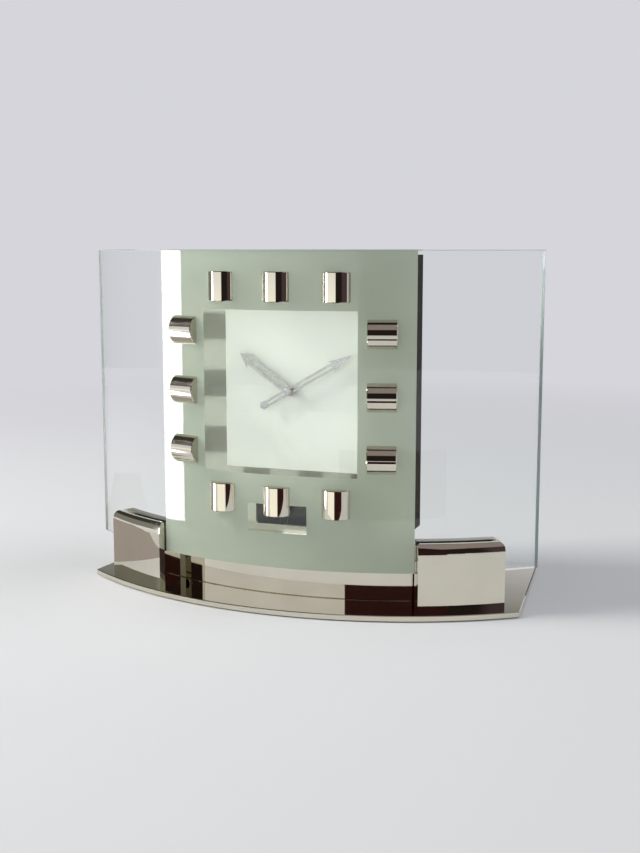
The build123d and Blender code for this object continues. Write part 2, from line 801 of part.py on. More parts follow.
stud_head_rear = hour_pinion_front - running_gap
with BuildPart() as minute_wheel_stud:
    arbor(minute_wheel_axis, stud_radius, stud_head_rear, front_plate_rear)
    arbor(minute_wheel_axis, stud_head_radius, stud_head_rear - stud_head_height, stud_head_rear)
write(minute_wheel_stud, "minute_wheel_stud")

# Setting arbor, which turns the minute wheel from a knob behind the clock
knob_front = cover_rear + knob_gap
setting_front = cannon_front - motion_gap
with BuildPart() as setting_arbor:
    arbor(setting_axis, setting_arbor_radius, setting_front, knob_front + knob_height - knob_gap)
    with BuildSketch(at_y(cannon_rear)):
        pinion_teeth(setting_axis, cannon_teeth, motion_module, 0)
    extrude(amount=pinion_thickness)
write(setting_arbor, "setting_arbor")

with BuildPart() as setting_knob:
    with BuildSketch(at_y(knob_front + knob_height)):
        with Locations(setting_axis):
            Circle(knob_radius)
            with PolarLocations(knob_radius, knob_flutes):
                Circle(knob_flute_radius, mode=Mode.SUBTRACT)
    extrude(amount=knob_height)
    with BuildSketch(at_y(knob_front + knob_height - knob_gap)):
        with Locations(setting_axis):
            Circle(setting_arbor_radius + seat_gap)
    extrude(amount=knob_height, mode=Mode.SUBTRACT)
write(setting_knob, "setting_knob")

# Going train between the plates: centre wheel, intermediate wheel and count wheel
centre_wheel_rear = front_plate_rear + centre_wheel_setback
intermediate_wheel_rear = centre_wheel_rear + train_wheel_step
arbor_end = plate_thickness / 2
train_arbor_front = front_plate_front - arbor_end / 2
with BuildPart() as centre_arbor:
    arbor(centre_axis, centre_arbor_radius, minute_hand_front - nut_height, rear_plate_rear + arbor_end)
write(centre_arbor, "centre_arbor")

with BuildPart() as centre_wheel:
    with BuildSketch(at_y(centre_wheel_rear)):
        spoked_wheel(centre_axis, centre_teeth, train_module, intermediate_direction, cannon_bore)
    extrude(amount=wheel_thickness)
write(centre_wheel, "centre_wheel")

leaf_pitch = 360 / pinion_leaves
leaf_margin = (pinion_thickness - wheel_thickness) / 2
train_bore = train_arbor_radius + seat_gap
with BuildPart() as intermediate_wheel:
    arbor(intermediate_axis, train_arbor_radius, train_arbor_front, rear_plate_rear + arbor_end)
    with BuildSketch(at_y(centre_wheel_rear + leaf_margin)):
        first_leaf = intermediate_direction + 180 + leaf_pitch / 2
        pinion_teeth(intermediate_axis, pinion_leaves, train_module, first_leaf)
    extrude(amount=pinion_thickness)
    with BuildSketch(at_y(intermediate_wheel_rear)):
        spoked_wheel(intermediate_axis, intermediate_teeth, count_module, count_direction, train_bore)
    extrude(amount=wheel_thickness)
write(intermediate_wheel, "intermediate_wheel")

ratchet_rear = rear_plate_rear + motion_gap + ratchet_thickness
ratchet_pitch = 360 / ratchet_teeth
ratchet_points = []
for tooth in range(ratchet_teeth):
    tip_angle = 90 + tooth * ratchet_pitch
    ratchet_points.append(polar(count_axis, ratchet_radius, tip_angle))
    ratchet_points.append(polar(count_axis, ratchet_radius - ratchet_depth, tip_angle + ratchet_lean))
with BuildPart() as count_wheel:
    arbor(count_axis, train_arbor_radius, train_arbor_front, ratchet_rear)
    with BuildSketch(at_y(intermediate_wheel_rear + leaf_margin)):
        pinion_teeth(count_axis, pinion_leaves, count_module, count_direction + 180 + leaf_pitch / 2)
    extrude(amount=pinion_thickness)
    with BuildSketch(at_y(ratchet_rear)):
        polygon(*ratchet_points)
        with Locations(count_axis):
            Circle(train_bore, mode=Mode.SUBTRACT)
    extrude(amount=ratchet_thickness)
write(count_wheel, "count_wheel")

# Movement plates, the pillars between them and the posts that carry them on the back plate
plate_middle = (plate_bottom + plate_top) / 2
running_places = {
    centre_axis: centre_arbor_radius,
    setting_axis: setting_arbor_radius,
    intermediate_axis: train_arbor_radius,
    count_axis: train_arbor_radius,
}


def movement_plate():
    """Face of a movement plate, with the holes that its arbors run in."""
    with Locations((0, plate_middle)):
        RectangleRounded(2 * plate_half_width, plate_top - plate_bottom, plate_round)
    for axis, radius in running_places.items():
        with Locations(axis):
            Circle(radius + running_gap, mode=Mode.SUBTRACT)


with BuildPart() as movement_front_plate:
    with BuildSketch(at_y(front_plate_rear)):
        movement_plate()
        with Locations(minute_wheel_axis):
            Circle(stud_radius + seat_gap, mode=Mode.SUBTRACT)
    extrude(amount=plate_thickness)
write(movement_front_plate, "movement_front_plate")

with BuildPart() as movement_rear_plate:
    with BuildSketch(at_y(rear_plate_rear)):
        movement_plate()
    extrude(amount=plate_thickness)
write(movement_rear_plate, "movement_rear_plate")

with BuildPart() as plate_pillars:
    with BuildSketch(at_y(rear_plate_front)):
        with Locations(*post_places):
            Circle(pillar_radius)
    extrude(amount=plate_gap)
write(plate_pillars, "plate_pillars")

with BuildPart() as mounting_posts:
    with BuildSketch(at_y(front_plate_front)):
        with Locations(*post_places):
            RegularPolygon(pillar_radius, post_sides)
    extrude(amount=motion_work_depth)
write(mounting_posts, "mounting_posts")

# Suspension: a bracket on the rear plate, and a pin along Y that the pendulum swings on
pivot = (0, pivot_height)
bracket_front_wall = rear_plate_rear + bracket_wall
hanger_front = pendulum_y - hanger_thickness / 2
hanger_rear = pendulum_y + hanger_thickness / 2
bracket_inner_rear = hanger_rear + bracket_gap
bracket_rear = bracket_inner_rear + bracket_wall
bracket_inner_top = pivot_height + hanger_above_pivot + bracket_gap
bracket_top = bracket_inner_top + bracket_wall
with BuildPart() as suspension_bracket:
    with BuildSketch(Plane.YZ.offset(-bracket_half_width)):
        polygon(
            (rear_plate_rear, bracket_bottom), (bracket_front_wall, bracket_bottom),
            (bracket_front_wall, bracket_inner_top), (bracket_inner_rear, bracket_inner_top),
            (bracket_inner_rear, pivot_height - bracket_half_width / 2),
            (bracket_rear, pivot_height - bracket_half_width / 2),
            (bracket_rear, bracket_top), (rear_plate_rear, bracket_top),
        )
    extrude(amount=2 * bracket_half_width)
    with BuildSketch(at_y(bracket_rear)):
        with Locations(pivot):
            Circle(pivot_radius + seat_gap)
    extrude(amount=bracket_rear - rear_plate_rear, mode=Mode.SUBTRACT)
write(suspension_bracket, "suspension_bracket")

with BuildPart() as suspension_pin:
    arbor(pivot, pivot_radius, rear_plate_rear, bracket_rear)
write(suspension_pin, "suspension_pin")

# Pendulum: hanger, flat spring, rod with its chop, bob, rating nut, magnet and pawl
hanger_bottom = pivot_height + hanger_above_pivot - hanger_height
chop_top = hanger_bottom - spring_length
chop_bottom = chop_top - chop_height
bob_bottom = bob_height - bob_radius
magnet_holder_bottom = bob_bottom - rating_nut_height - magnet_drop - magnet_holder_height
magnet_arc_radius = pivot_height - magnet_holder_bottom - magnet_holder_height / 2
with BuildPart() as suspension_spring:
    with BuildSketch(at_y(hanger_rear)):
        with Locations((0, hanger_bottom + hanger_height / 2)):
            Rectangle(hanger_width, hanger_height)
        with Locations(pivot):
            Circle(pivot_radius + running_gap, mode=Mode.SUBTRACT)
    extrude(amount=hanger_thickness)
    with BuildSketch(at_y(pendulum_y + spring_thickness / 2)):
        with Locations((0, chop_top + spring_length / 2)):
            Rectangle(spring_width, spring_length - 2 * seat_gap)
    extrude(amount=spring_thickness)
write(suspension_spring, "suspension_spring")

with BuildPart() as pendulum_rod:
    with BuildSketch(at_y(hanger_rear)):
        with Locations((0, chop_bottom + chop_height / 2)):
            Rectangle(hanger_width, chop_height)
    extrude(amount=hanger_thickness)
    with BuildSketch(Plane.XY.offset(magnet_holder_bottom)):
        with Locations((0, pendulum_y)):
            Circle(rod_radius)
    extrude(amount=chop_bottom - magnet_holder_bottom)
write(pendulum_rod, "pendulum_rod")

with BuildPart() as pendulum_bob:
    with BuildSketch(Plane.YZ.offset(-bob_length / 2)):
        with Locations((pendulum_y, bob_height)):
            Circle(bob_radius)
    extrude(amount=bob_length)
    chamfer(pendulum_bob.edges().filter_by(GeomType.CIRCLE), bob_edge)
    with BuildSketch(Plane.XY.offset(bob_bottom - bob_edge)):
        with Locations((0, pendulum_y)):
            Circle(rod_radius + seat_gap)
    extrude(amount=2 * bob_radius + 2 * bob_edge, mode=Mode.SUBTRACT)
write(pendulum_bob, "pendulum_bob")

with BuildPart() as rating_nut:
    with BuildSketch(Plane.XY.offset(bob_bottom - rating_nut_height)):
        with Locations((0, pendulum_y)):
            RegularPolygon(rating_nut_radius, rating_nut_sides)
            Circle(rod_radius + seat_gap, mode=Mode.SUBTRACT)
    extrude(amount=rating_nut_height)
write(rating_nut, "rating_nut")

with BuildPart() as magnet_holder:
    with BuildSketch(Plane.XY.offset(magnet_holder_bottom)):
        with Locations((0, pendulum_y)):
            Rectangle(magnet_holder_width, magnet_holder_width)
            Circle(rod_radius + seat_gap, mode=Mode.SUBTRACT)
    extrude(amount=magnet_holder_height)
write(magnet_holder, "magnet_holder")

magnet_start_angle = degrees(asin((magnet_holder_width / 2 + magnet_holder_gap) / magnet_arc_radius))
magnet_start = polar(pivot, magnet_arc_radius, magnet_start_angle - 90)
magnet_direction = (cos(radians(magnet_start_angle)), 0, sin(radians(magnet_start_angle)))
with BuildPart() as drive_magnet:
    with BuildSketch(Plane(origin=(magnet_start[0], pendulum_y, magnet_start[1]), z_dir=magnet_direction)):
        Circle(magnet_radius)
    revolve(
        axis=Axis((0, pendulum_y, pivot_height), (0, -1, 0)),
        revolution_arc=magnet_end_angle - magnet_start_angle,
    )
write(drive_magnet, "drive_magnet")

# The pawl stands on the chop in the plane of the count wheel, drawn lifted clear of its teeth
pawl_bottom = count_axis[1] + ratchet_radius + pawl_lift
pawl_front = ratchet_rear - ratchet_thickness
with BuildPart() as drive_pawl:
    with BuildSketch(at_y(hanger_front)):
        with Locations((0, pawl_bottom + pawl_bar / 2)):
            Rectangle(pawl_bar, pawl_bar)
    extrude(amount=hanger_front - pawl_front)
    with BuildSketch(at_y(pawl_front + pawl_thickness)):
        polygon(
            (pawl_bar / 2, pawl_bottom), (pawl_bar / 2, pawl_bottom + pawl_bar),
            (-pawl_reach, pawl_bottom + pawl_bar), (-pawl_reach, pawl_bottom),
        )
    extrude(amount=pawl_thickness)
write(drive_pawl, "drive_pawl")

# Drive coil on its bobbin and bracket, which the magnet swings into
coil_place = polar(pivot, magnet_arc_radius, coil_angle - 90)
coil_plane = Plane(
    origin=(coil_place[0], pendulum_y, coil_place[1]), x_dir=(0, 1, 0),
    z_dir=(cos(radians(coil_angle)), 0, sin(radians(coil_angle))),
)
winding_inner = coil_bore_radius + bobbin_wall
with BuildPart() as drive_coil:
    with BuildSketch(coil_plane.offset(-coil_length / 2)):
        Circle(coil_flange_radius)
    extrude(amount=coil_length)
    with BuildSketch(coil_plane.offset(bobbin_wall - coil_length / 2)):
        Circle(coil_flange_radius)
        Circle(winding_inner, mode=Mode.SUBTRACT)
    extrude(amount=coil_length - 2 * bobbin_wall, mode=Mode.SUBTRACT)
    with BuildSketch(coil_plane.offset(-coil_length / 2)):
        Circle(coil_bore_radius)
    extrude(amount=coil_length, mode=Mode.SUBTRACT)
    with BuildSketch(coil_plane.offset(bobbin_wall + seat_gap - coil_length / 2)):
        Circle(coil_flange_radius - bobbin_wall)
        Circle(winding_inner + seat_gap, mode=Mode.SUBTRACT)
    extrude(amount=coil_length - 2 * bobbin_wall - 2 * seat_gap)
write(drive_coil, "drive_coil")

with BuildPart() as coil_bracket:
    with BuildSketch(Plane.XY.offset(base_top)):
        with Locations((coil_place[0], pendulum_y)):
            Rectangle(coil_length, 2 * (coil_flange_radius + coil_bracket_wall))
    extrude(amount=coil_place[1] - base_top)
    with BuildSketch(coil_plane.offset(-coil_length)):
        Circle(coil_flange_radius + screw_clearance)
    extrude(amount=2 * coil_length, mode=Mode.SUBTRACT)
write(coil_bracket, "coil_bracket")

# Battery in its holder, with a contact leaf at each end
battery_axis_height = base_top + holder_base + battery_radius + holder_clearance
battery_half = battery_length / 2
contact_inner = battery_half + battery_nub_height
cheek_inner = contact_inner + contact_thickness
holder_half = cheek_inner + holder_cheek
battery_plane = Plane(
    origin=(-battery_half, battery_y, battery_axis_height), x_dir=(0, 1, 0), z_dir=(1, 0, 0)
)
with BuildPart() as battery:
    with BuildSketch(battery_plane):
        Circle(battery_radius)
    extrude(amount=battery_length)
    chamfer(battery.edges().filter_by(GeomType.CIRCLE), battery_edge)
    with BuildSketch(battery_plane.offset(battery_length)):
        Circle(battery_nub_radius)
    extrude(amount=battery_nub_height)
write(battery, "battery")

with BuildPart() as battery_holder:
    with BuildSketch(Plane.XZ.offset(-battery_y - battery_radius)):
        polygon(
            (-holder_half, base_top), (holder_half, base_top), (holder_half, battery_axis_height),
            (cheek_inner, battery_axis_height), (cheek_inner, base_top + holder_base),
            (-cheek_inner, base_top + holder_base), (-cheek_inner, battery_axis_height),
            (-holder_half, battery_axis_height),
        )
    extrude(amount=2 * battery_radius)
write(battery_holder, "battery_holder")

contact_height = battery_axis_height - base_top - holder_base
with BuildPart() as battery_contacts:
    with BuildSketch(Plane.XY.offset(base_top + holder_base)):
        with Locations((contact_inner + contact_thickness / 2, battery_y),
                       (-contact_inner - contact_thickness / 2, battery_y)):
            Rectangle(contact_thickness, 2 * battery_nub_radius)
    extrude(amount=contact_height + battery_nub_radius)
    with BuildSketch(Plane.YZ.offset(-contact_inner)):
        with Locations((battery_y, battery_axis_height)):
            Circle(battery_nub_radius / 2)
    extrude(amount=battery_nub_height)
write(battery_contacts, "battery_contacts")

# Rear housing: a box of four walls with a flange on the case, feet on the base and lugs for the cover
housing_inner = housing_half_width - housing_wall
housing_inner_top = housing_top - housing_wall
housing_reach = housing_half_width + housing_flange
cover_screw_places = [
    (side * (housing_inner - housing_lug / 2), height)
    for side in sides.values()
    for height in (base_top + housing_lug / 2, housing_inner_top - housing_lug / 2)
]
flange_bottom = case_bottom + case_corner_cut / 2
with BuildPart() as rear_housing:
    with BuildSketch(at_y(housing_rear)):
        polygon(
            (-housing_half_width, base_top), (-housing_half_width, housing_top),
            (housing_half_width, housing_top), (housing_half_width, base_top),
            (housing_inner, base_top), (housing_inner, housing_inner_top),
            (-housing_inner, housing_inner_top), (-housing_inner, base_top),
        )
    extrude(amount=housing_depth)
    with BuildSketch(at_y(case_rear + housing_wall)):
        with Locations((0, flange_bottom)):
            Rectangle(2 * housing_reach, housing_top - flange_bottom, align=(Align.CENTER, Align.MIN))
            Rectangle(2 * housing_inner, housing_inner_top - flange_bottom, align=(Align.CENTER, Align.MIN),
                      mode=Mode.SUBTRACT)
        with Locations(*housing_screw_places):
            Circle(small_screw_radius + screw_clearance, mode=Mode.SUBTRACT)
    extrude(amount=housing_wall)
    with BuildSketch(Plane.XY.offset(base_top)):
        for side in sides.values():
            with Locations((side * housing_foot_middle, (case_rear + housing_rear) / 2)):
                Rectangle(housing_flange, housing_depth)
        with Locations(*housing_foot_places):
            Circle(base_screw_radius + screw_clearance, mode=Mode.SUBTRACT)
    extrude(amount=housing_wall)
    with BuildSketch(at_y(housing_rear)):
        with Locations(*cover_screw_places):
            Rectangle(housing_lug, housing_lug)
            Circle(small_screw_radius + screw_clearance, mode=Mode.SUBTRACT)
    extrude(amount=housing_lug)
write(rear_housing, "rear_housing")

with BuildPart() as rear_cover:
    with BuildSketch(at_y(cover_rear)):
        with Locations((0, (base_top + cover_lift + housing_top) / 2)):
            RectangleRounded(2 * housing_half_width, housing_top - base_top - cover_lift, cover_round)
        with Locations(*cover_screw_places):
            Circle(small_screw_radius + screw_clearance, mode=Mode.SUBTRACT)
        with Locations(setting_axis):
            Circle(setting_arbor_radius + running_gap, mode=Mode.SUBTRACT)
    extrude(amount=cover_thickness)
write(rear_cover, "rear_cover")

housing_screw_grip = housing_wall + case_wall + back_plate_thickness
cover_screw_grip = cover_thickness + housing_lug - screw_clearance
with BuildPart() as housing_screws:
    for x, height in housing_screw_places:
        place = Plane(origin=(x, case_rear + housing_wall, height), z_dir=(0, 1, 0))
        small_screw(place, housing_screw_grip)
    for x, height in cover_screw_places:
        place = Plane(origin=(x, cover_rear, height), z_dir=(0, 1, 0))
        small_screw(place, cover_screw_grip)
write(housing_screws, "housing_screws")
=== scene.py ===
"""Looks of the desk pendulum clock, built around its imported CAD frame. Metres."""
import json
from math import cos, pi, radians, sin

import bmesh
import bpy
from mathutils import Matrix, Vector

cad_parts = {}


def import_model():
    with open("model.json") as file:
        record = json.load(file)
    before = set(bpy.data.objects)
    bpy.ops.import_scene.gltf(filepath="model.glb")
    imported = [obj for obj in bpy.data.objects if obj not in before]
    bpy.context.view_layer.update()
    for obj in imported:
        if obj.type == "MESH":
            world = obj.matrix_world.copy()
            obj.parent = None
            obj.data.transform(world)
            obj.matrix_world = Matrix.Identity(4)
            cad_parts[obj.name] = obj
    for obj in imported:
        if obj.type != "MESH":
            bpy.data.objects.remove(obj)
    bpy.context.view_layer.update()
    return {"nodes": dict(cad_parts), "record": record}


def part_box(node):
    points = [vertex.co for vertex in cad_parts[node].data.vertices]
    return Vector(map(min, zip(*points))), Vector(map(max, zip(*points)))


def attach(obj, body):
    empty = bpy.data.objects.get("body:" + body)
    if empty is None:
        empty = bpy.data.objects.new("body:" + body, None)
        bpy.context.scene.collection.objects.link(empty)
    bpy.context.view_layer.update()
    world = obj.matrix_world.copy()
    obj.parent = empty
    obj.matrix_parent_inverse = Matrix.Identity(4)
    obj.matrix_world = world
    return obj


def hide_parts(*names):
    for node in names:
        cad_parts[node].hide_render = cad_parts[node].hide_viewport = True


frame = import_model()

nodes = frame["nodes"]

# Driving dimensions, as in the CAD model
GLASS_RADIUS = 0.235
GLASS_THICKNESS = 0.006
GLASS_HALF_ANGLE = radians(40.0)
FROST_HALF_ANGLE = radians(20.8)
WINDOW_HALF_ANGLE = radians(12.3)
WINDOW_BOTTOM = 0.084
WINDOW_TOP = 0.184
PEEP_HALF_ANGLE = radians(4.7)
PEEP_BOTTOM = 0.048
PEEP_TOP = 0.0655
PAD_RADIUS = 0.008
PAD_EDGE = 0.0002
PAD_STEPS = 64
BASE_END_TAPER = 0.009
COIL_TILT = radians(9.0)
COIL_HALF_LENGTH = 0.0061
WIRE_PITCH = 0.00035
BATTERY_CAN_END = 0.0012
BATTERY_CAP_END = 0.0030

# How the pane's material tells its faces apart
GLASS_IOR = 1.5
FROST_DEPTH = 0.1 * GLASS_THICKNESS
END_BAND = 0.001
RIM_BAND = 0.0007

glass_low, glass_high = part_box("glass_pane")
BEND_CENTRE_Y = glass_low.y + GLASS_RADIUS

# Camera of the photograph, placed from the axis that the glass bends around
CAMERA_PLACE = (0.271, BEND_CENTRE_Y - 0.90525, 0.220)
CAMERA_TURN = radians(19.9)
CAMERA_PITCH = radians(8.35)
FOCAL_PIXELS = 1206
PHOTO_HEIGHT = 853
SENSOR_HEIGHT = 36.0

# Pale surroundings
BACKDROP = (0.67, 0.665, 0.715)
FLOOR = (0.77, 0.775, 0.79)
FLOOR_REACH = 6.0
FLOOR_FADE = (0.35, 1.3)
SKY = (0.95, 0.97, 1.0)
SKY_LIGHT = 0.35
LAMP_TARGET = (0, 0, 0.1)

# What the polished metal and the glass mirror
ROOM_RADIUS = 1.6
CREAM = (1.25, 1.22, 1.12)
PALE = (0.80, 0.82, 0.88)
SHADE = (0.020, 0.014, 0.012)
PLUM = (0.07, 0.05, 0.06)
MAUVE = (0.30, 0.26, 0.26)
GREY = (0.24, 0.25, 0.23)
EAVES = (0.05, 0.042, 0.04)
CEILING = (0.008, 0.007, 0.007)
DARK_RED = (0.035, 0.012, 0.012)
TAUPE = (0.42, 0.38, 0.36)
GLARE = (13.0, 13.0, 13.0)

# Walls of the room by bearing in degrees: 0 is straight ahead of the clock, 90 to its right
LOWER_ROOM = [
    (-180, BACKDROP), (-150, GREY), (-71, GREY), (-67, CREAM), (7, CREAM), (10, SHADE), (50, SHADE),
    (55, PLUM), (92, PLUM), (98, BACKDROP), (180, BACKDROP),
]
RAISED_ROOM = [(angle, PALE if colour == CREAM else colour) for angle, colour in LOWER_ROOM]
UPPER_ROOM = [(-180, GREY), (-120, EAVES), (-30, EAVES), (0, MAUVE), (60, MAUVE), (100, GREY), (180, GREY)]

# Heights in the room as angles. The eaves rise from the left, and drop again further to the right
PALING = (radians(4), radians(8))
EAVES_BEARINGS = (radians(-90), radians(45))
EAVES_RISE = (radians(16), radians(44))
DROP_BEARINGS = (radians(26), radians(38))
EAVES_DROP = radians(21)
EAVES_BLUR = radians(2)
CEILING_RISE = (radians(72), radians(78))

# Cards in the room. The bright strip lies where the camera sees it in the pane: angle on the bend, and bearing
CARD_HEIGHT = 0.002
STRIP_EDGES = [(radians(-20.8), radians(-68.9)), (radians(-16.6), radians(-59.6))]
STRIP_REACH = (0.20, 1.45)
STRIP_HEIGHT = 0.003
STRIP_TOP = 0.25
LOW_CARD_ENDS = ((0.04, -0.22), (0.20, -0.173))
LOW_CARD_HEIGHTS = (0.024, 0.075)
SIDE_CARD_ENDS = ((0.128, 0.17), (0.175, 0.17))
SIDE_CARD_HEIGHTS = (0.0, 0.30)
BRIGHT_FLOOR_REACH = (0.25, 0.90)
BRIGHT_FLOOR_BEARINGS = (-45, 14)
# The taupe left floor card is painted shade: a darker patch of floor at the left, which only polished surfaces
# mirror
LEFT_FLOOR_CORNERS = ((-0.50, -0.085), (-0.16, 0.05))


class Shader:
    """A material or world in the making: adds nodes, and fills their sockets with values or links."""

    def __init__(self, owner, output):
        owner.use_nodes = True
        self.owner = owner
        self.tree = owner.node_tree
        self.tree.nodes.clear()
        self.output = self.tree.nodes.new(output)

    def add(self, kind, sockets=None, **settings):
        """Adds a node with its settings, and feeds its sockets by name or number."""
        node = self.tree.nodes.new(kind)
        for name, value in settings.items():
            setattr(node, name, value)
        for name, value in (sockets or {}).items():
            self.feed(node.inputs[name], value)
        return node

    def feed(self, socket, value):
        """Links another node's socket, or sets a plain value."""
        if isinstance(value, bpy.types.NodeSocket):
            self.tree.links.new(value, socket)
        elif isinstance(value, bpy.types.Node):
            self.tree.links.new(value.outputs[0], socket)
        elif hasattr(value, "__len__") and len(value) == 3 and socket.type == "RGBA":
            socket.default_value = (*value, 1.0)
        else:
            socket.default_value = value

    def finish(self, surface):
        """Sends the last node to the output."""
        self.feed(self.output.inputs["Surface"], surface)
        return self.owner

    def math(self, operation, *values):
        """Math node on values or sockets."""
        return self.add("ShaderNodeMath", dict(enumerate(values)), operation=operation).outputs[0]

    def between(self, value, low, high):
        """One where value lies between low and high, else zero."""
        above = self.math("GREATER_THAN", value, low)
        return self.math("MULTIPLY", above, self.math("LESS_THAN", value, high))

    def length(self, first, second):
        """Length of a vector in a plane."""
        squares = [self.math("POWER", side, 2.0) for side in (first, second)]
        return self.math("SQRT", self.math("ADD", *squares))

    def place(self):
        """Position in the frame as a vector socket."""
        return self.add("ShaderNodeTexCoord").outputs["Object"]

    def noise(self, scale, detail=3.0, stretch=(1, 1, 1), rough=0.5):
        """Noise value over the object, stretched along its axes."""
        mapping = self.add("ShaderNodeMapping", {"Vector": self.place(), "Scale": stretch})
        return self.add("ShaderNodeTexNoise", {
            "Vector": mapping, "Scale": scale, "Detail": detail, "Roughness": rough,
        }).outputs["Fac"]

    def spread(self, value, low, high, start=0.3, end=0.7):
        """Maps a value from one range to another, by default the range that noise mostly fills."""
        return self.add("ShaderNodeMapRange", {
            "Value": value, "From Min": start, "From Max": end, "To Min": low, "To Max": high,
        }).outputs[0]

    def ramp(self, turn, stops):
        """Colours around a circle, from stops in degrees."""
        node = self.add("ShaderNodeValToRGB", {"Fac": self.spread(turn, 0.0, 1.0, -pi, pi)})
        elements = node.color_ramp.elements
        elements[0].color = (*stops[0][1], 1.0)
        elements[1].color = (*stops[-1][1], 1.0)
        for angle, colour in stops[1:-1]:
            elements.new(angle / 360 + 0.5).color = (*colour, 1.0)
        return node.outputs["Color"]

    def blend(self, factor, first, second):
        """Mix of two colours, whose sockets go by number because the node repeats their names."""
        mix = self.add("ShaderNodeMix", data_type="RGBA")
        self.feed(mix.inputs["Factor"], factor)
        self.feed(mix.inputs[6], first)
        self.feed(mix.inputs[7], second)
        return mix.outputs[2]

    def mix(self, factor, first, second):
        """Mix of two shaders."""
        return self.add("ShaderNodeMixShader", {0: factor, 1: first, 2: second})

    def bump(self, height, strength, distance=0.0002):
        """Bump normal from a height."""
        return self.add("ShaderNodeBump", {
            "Height": height, "Strength": strength, "Distance": distance,
        }).outputs[0]

    def principled(self, sockets):
        """Main shader node."""
        return self.add("ShaderNodeBsdfPrincipled", sockets)


def material(name):
    """Starts a material."""
    return Shader(bpy.data.materials.new(name), "ShaderNodeOutputMaterial")


def polished_metal(name, bright, dull, low_rough, high_rough, scratch=0.02, metallic=1.0):
    """Polished metal with faint haze and hairline scratches, dulled where it isn't wholly metallic."""
    s = material(name)
    haze = s.noise(38.0, 4.0)
    hairs = s.noise(300.0, 2.0, (1.0, 0.6, 0.05))
    return s.finish(s.principled({
        "Base Color": s.blend(s.spread(haze, 0.0, 1.0), bright, dull),
        "Metallic": metallic,
        "Roughness": s.spread(s.noise(90.0, 5.0), low_rough, high_rough),
        "Normal": s.bump(hairs, scratch),
    }))


def turned_metal(name, bright, dull, low_rough, high_rough):
    """Machined metal with fine tool marks and a little tarnish."""
    s = material(name)
    tarnish = s.noise(110.0, 5.0, rough=0.6)
    marks = s.noise(900.0, 2.0, (1.0, 0.15, 1.0))
    return s.finish(s.principled({
        "Base Color": s.blend(s.spread(tarnish, 0.0, 1.0), bright, dull),
        "Metallic": 1.0,
        "Roughness": s.spread(marks, low_rough, high_rough),
        "Normal": s.bump(marks, 0.12, 0.0001),
    }))


def bent_glass():
    """Clear glass whose outer face is sandblasted, apart from two clear windows."""
    s = material("bent_glass")
    parts = s.add("ShaderNodeSeparateXYZ", {"Vector": s.place()}).outputs
    depth = s.math("SUBTRACT", BEND_CENTRE_Y, parts["Y"])
    angle = s.math("ABSOLUTE", s.math("ARCTAN2", parts["X"], depth))
    radius = s.length(parts["X"], depth)
    outer_face = s.math("GREATER_THAN", radius, GLASS_RADIUS - FROST_DEPTH)
    window = s.math("MULTIPLY", s.math("LESS_THAN", angle, WINDOW_HALF_ANGLE),
                    s.between(parts["Z"], WINDOW_BOTTOM, WINDOW_TOP))
    peep = s.math("MULTIPLY", s.math("LESS_THAN", angle, PEEP_HALF_ANGLE),
                  s.between(parts["Z"], PEEP_BOTTOM, PEEP_TOP))
    clear = s.math("MAXIMUM", window, peep)
    frost = s.math("MULTIPLY", s.math("LESS_THAN", angle, FROST_HALF_ANGLE), s.math("SUBTRACT", 1.0, clear))
    frost = s.math("MULTIPLY", frost, outer_face)
    ends = s.math("GREATER_THAN", angle, GLASS_HALF_ANGLE - END_BAND)
    rim = s.math("GREATER_THAN", parts["Z"], glass_high.z - RIM_BAND)
    edge = s.math("MAXIMUM", ends, rim)
    grain = s.noise(2600.0, 2.0)
    cloud = s.spread(s.noise(30.0, 3.0), 0.0, 1.0)
    clear_glass = s.principled({
        "Base Color": (0.965, 0.985, 0.975), "Roughness": 0.0, "IOR": GLASS_IOR, "Transmission Weight": 1.0,
    })
    ground = s.bump(grain, 0.15, 0.00005)
    face = s.add("ShaderNodeBsdfDiffuse", {
        "Color": s.blend(cloud, (0.47, 0.555, 0.435), (0.45, 0.53, 0.415)), "Normal": ground,
    })
    through = s.add("ShaderNodeBsdfTranslucent", {
        "Color": s.blend(cloud, (0.82, 0.86, 0.76), (0.79, 0.83, 0.73)), "Normal": ground,
    })
    sheen = s.add("ShaderNodeBsdfGlossy", {"Color": (1.0, 1.0, 1.0), "Roughness": 0.0})
    frosted = s.mix(s.add("ShaderNodeFresnel", {"IOR": GLASS_IOR}), s.mix(0.5, face, through), sheen)
    seamed = s.add("ShaderNodeBsdfDiffuse", {"Color": s.blend(cloud, (0.62, 0.70, 0.68), (0.55, 0.64, 0.62))})
    glass = s.mix(edge, clear_glass, s.mix(0.6, clear_glass, seamed))
    glass = s.mix(frost, glass, frosted)
    passing = s.add("ShaderNodeBsdfTransparent", {
        "Color": s.blend(frost, (0.94, 0.965, 0.95), (0.84, 0.88, 0.82)),
    })
    rays = s.add("ShaderNodeLightPath").outputs
    return s.finish(s.mix(rays["Is Shadow Ray"], glass, passing))


def white_dial():
    """Matt white paint with a very fine tooth."""
    s = material("white_dial")
    cloud = s.noise(25.0, 4.0)
    tooth = s.noise(1800.0, 2.0)
    return s.finish(s.principled({
        "Base Color": s.blend(s.spread(cloud, 0.0, 1.0), (0.86, 0.88, 0.80), (0.83, 0.86, 0.80)),
        "Roughness": s.spread(cloud, 0.42, 0.55),
        "Normal": s.bump(tooth, 0.08, 0.00005),
    }))


def felt():
    """Dense dark green felt."""
    s = material("felt")
    fibres = s.noise(3200.0, 4.0, rough=0.7)
    return s.finish(s.principled({
        "Base Color": s.blend(s.spread(fibres, 0.0, 1.0), (0.045, 0.075, 0.05), (0.085, 0.12, 0.085)),
        "Roughness": 0.95,
        "Sheen Weight": 0.4,
        "Sheen Roughness": 0.5,
        "Normal": s.bump(fibres, 0.6, 0.0002),
    }))


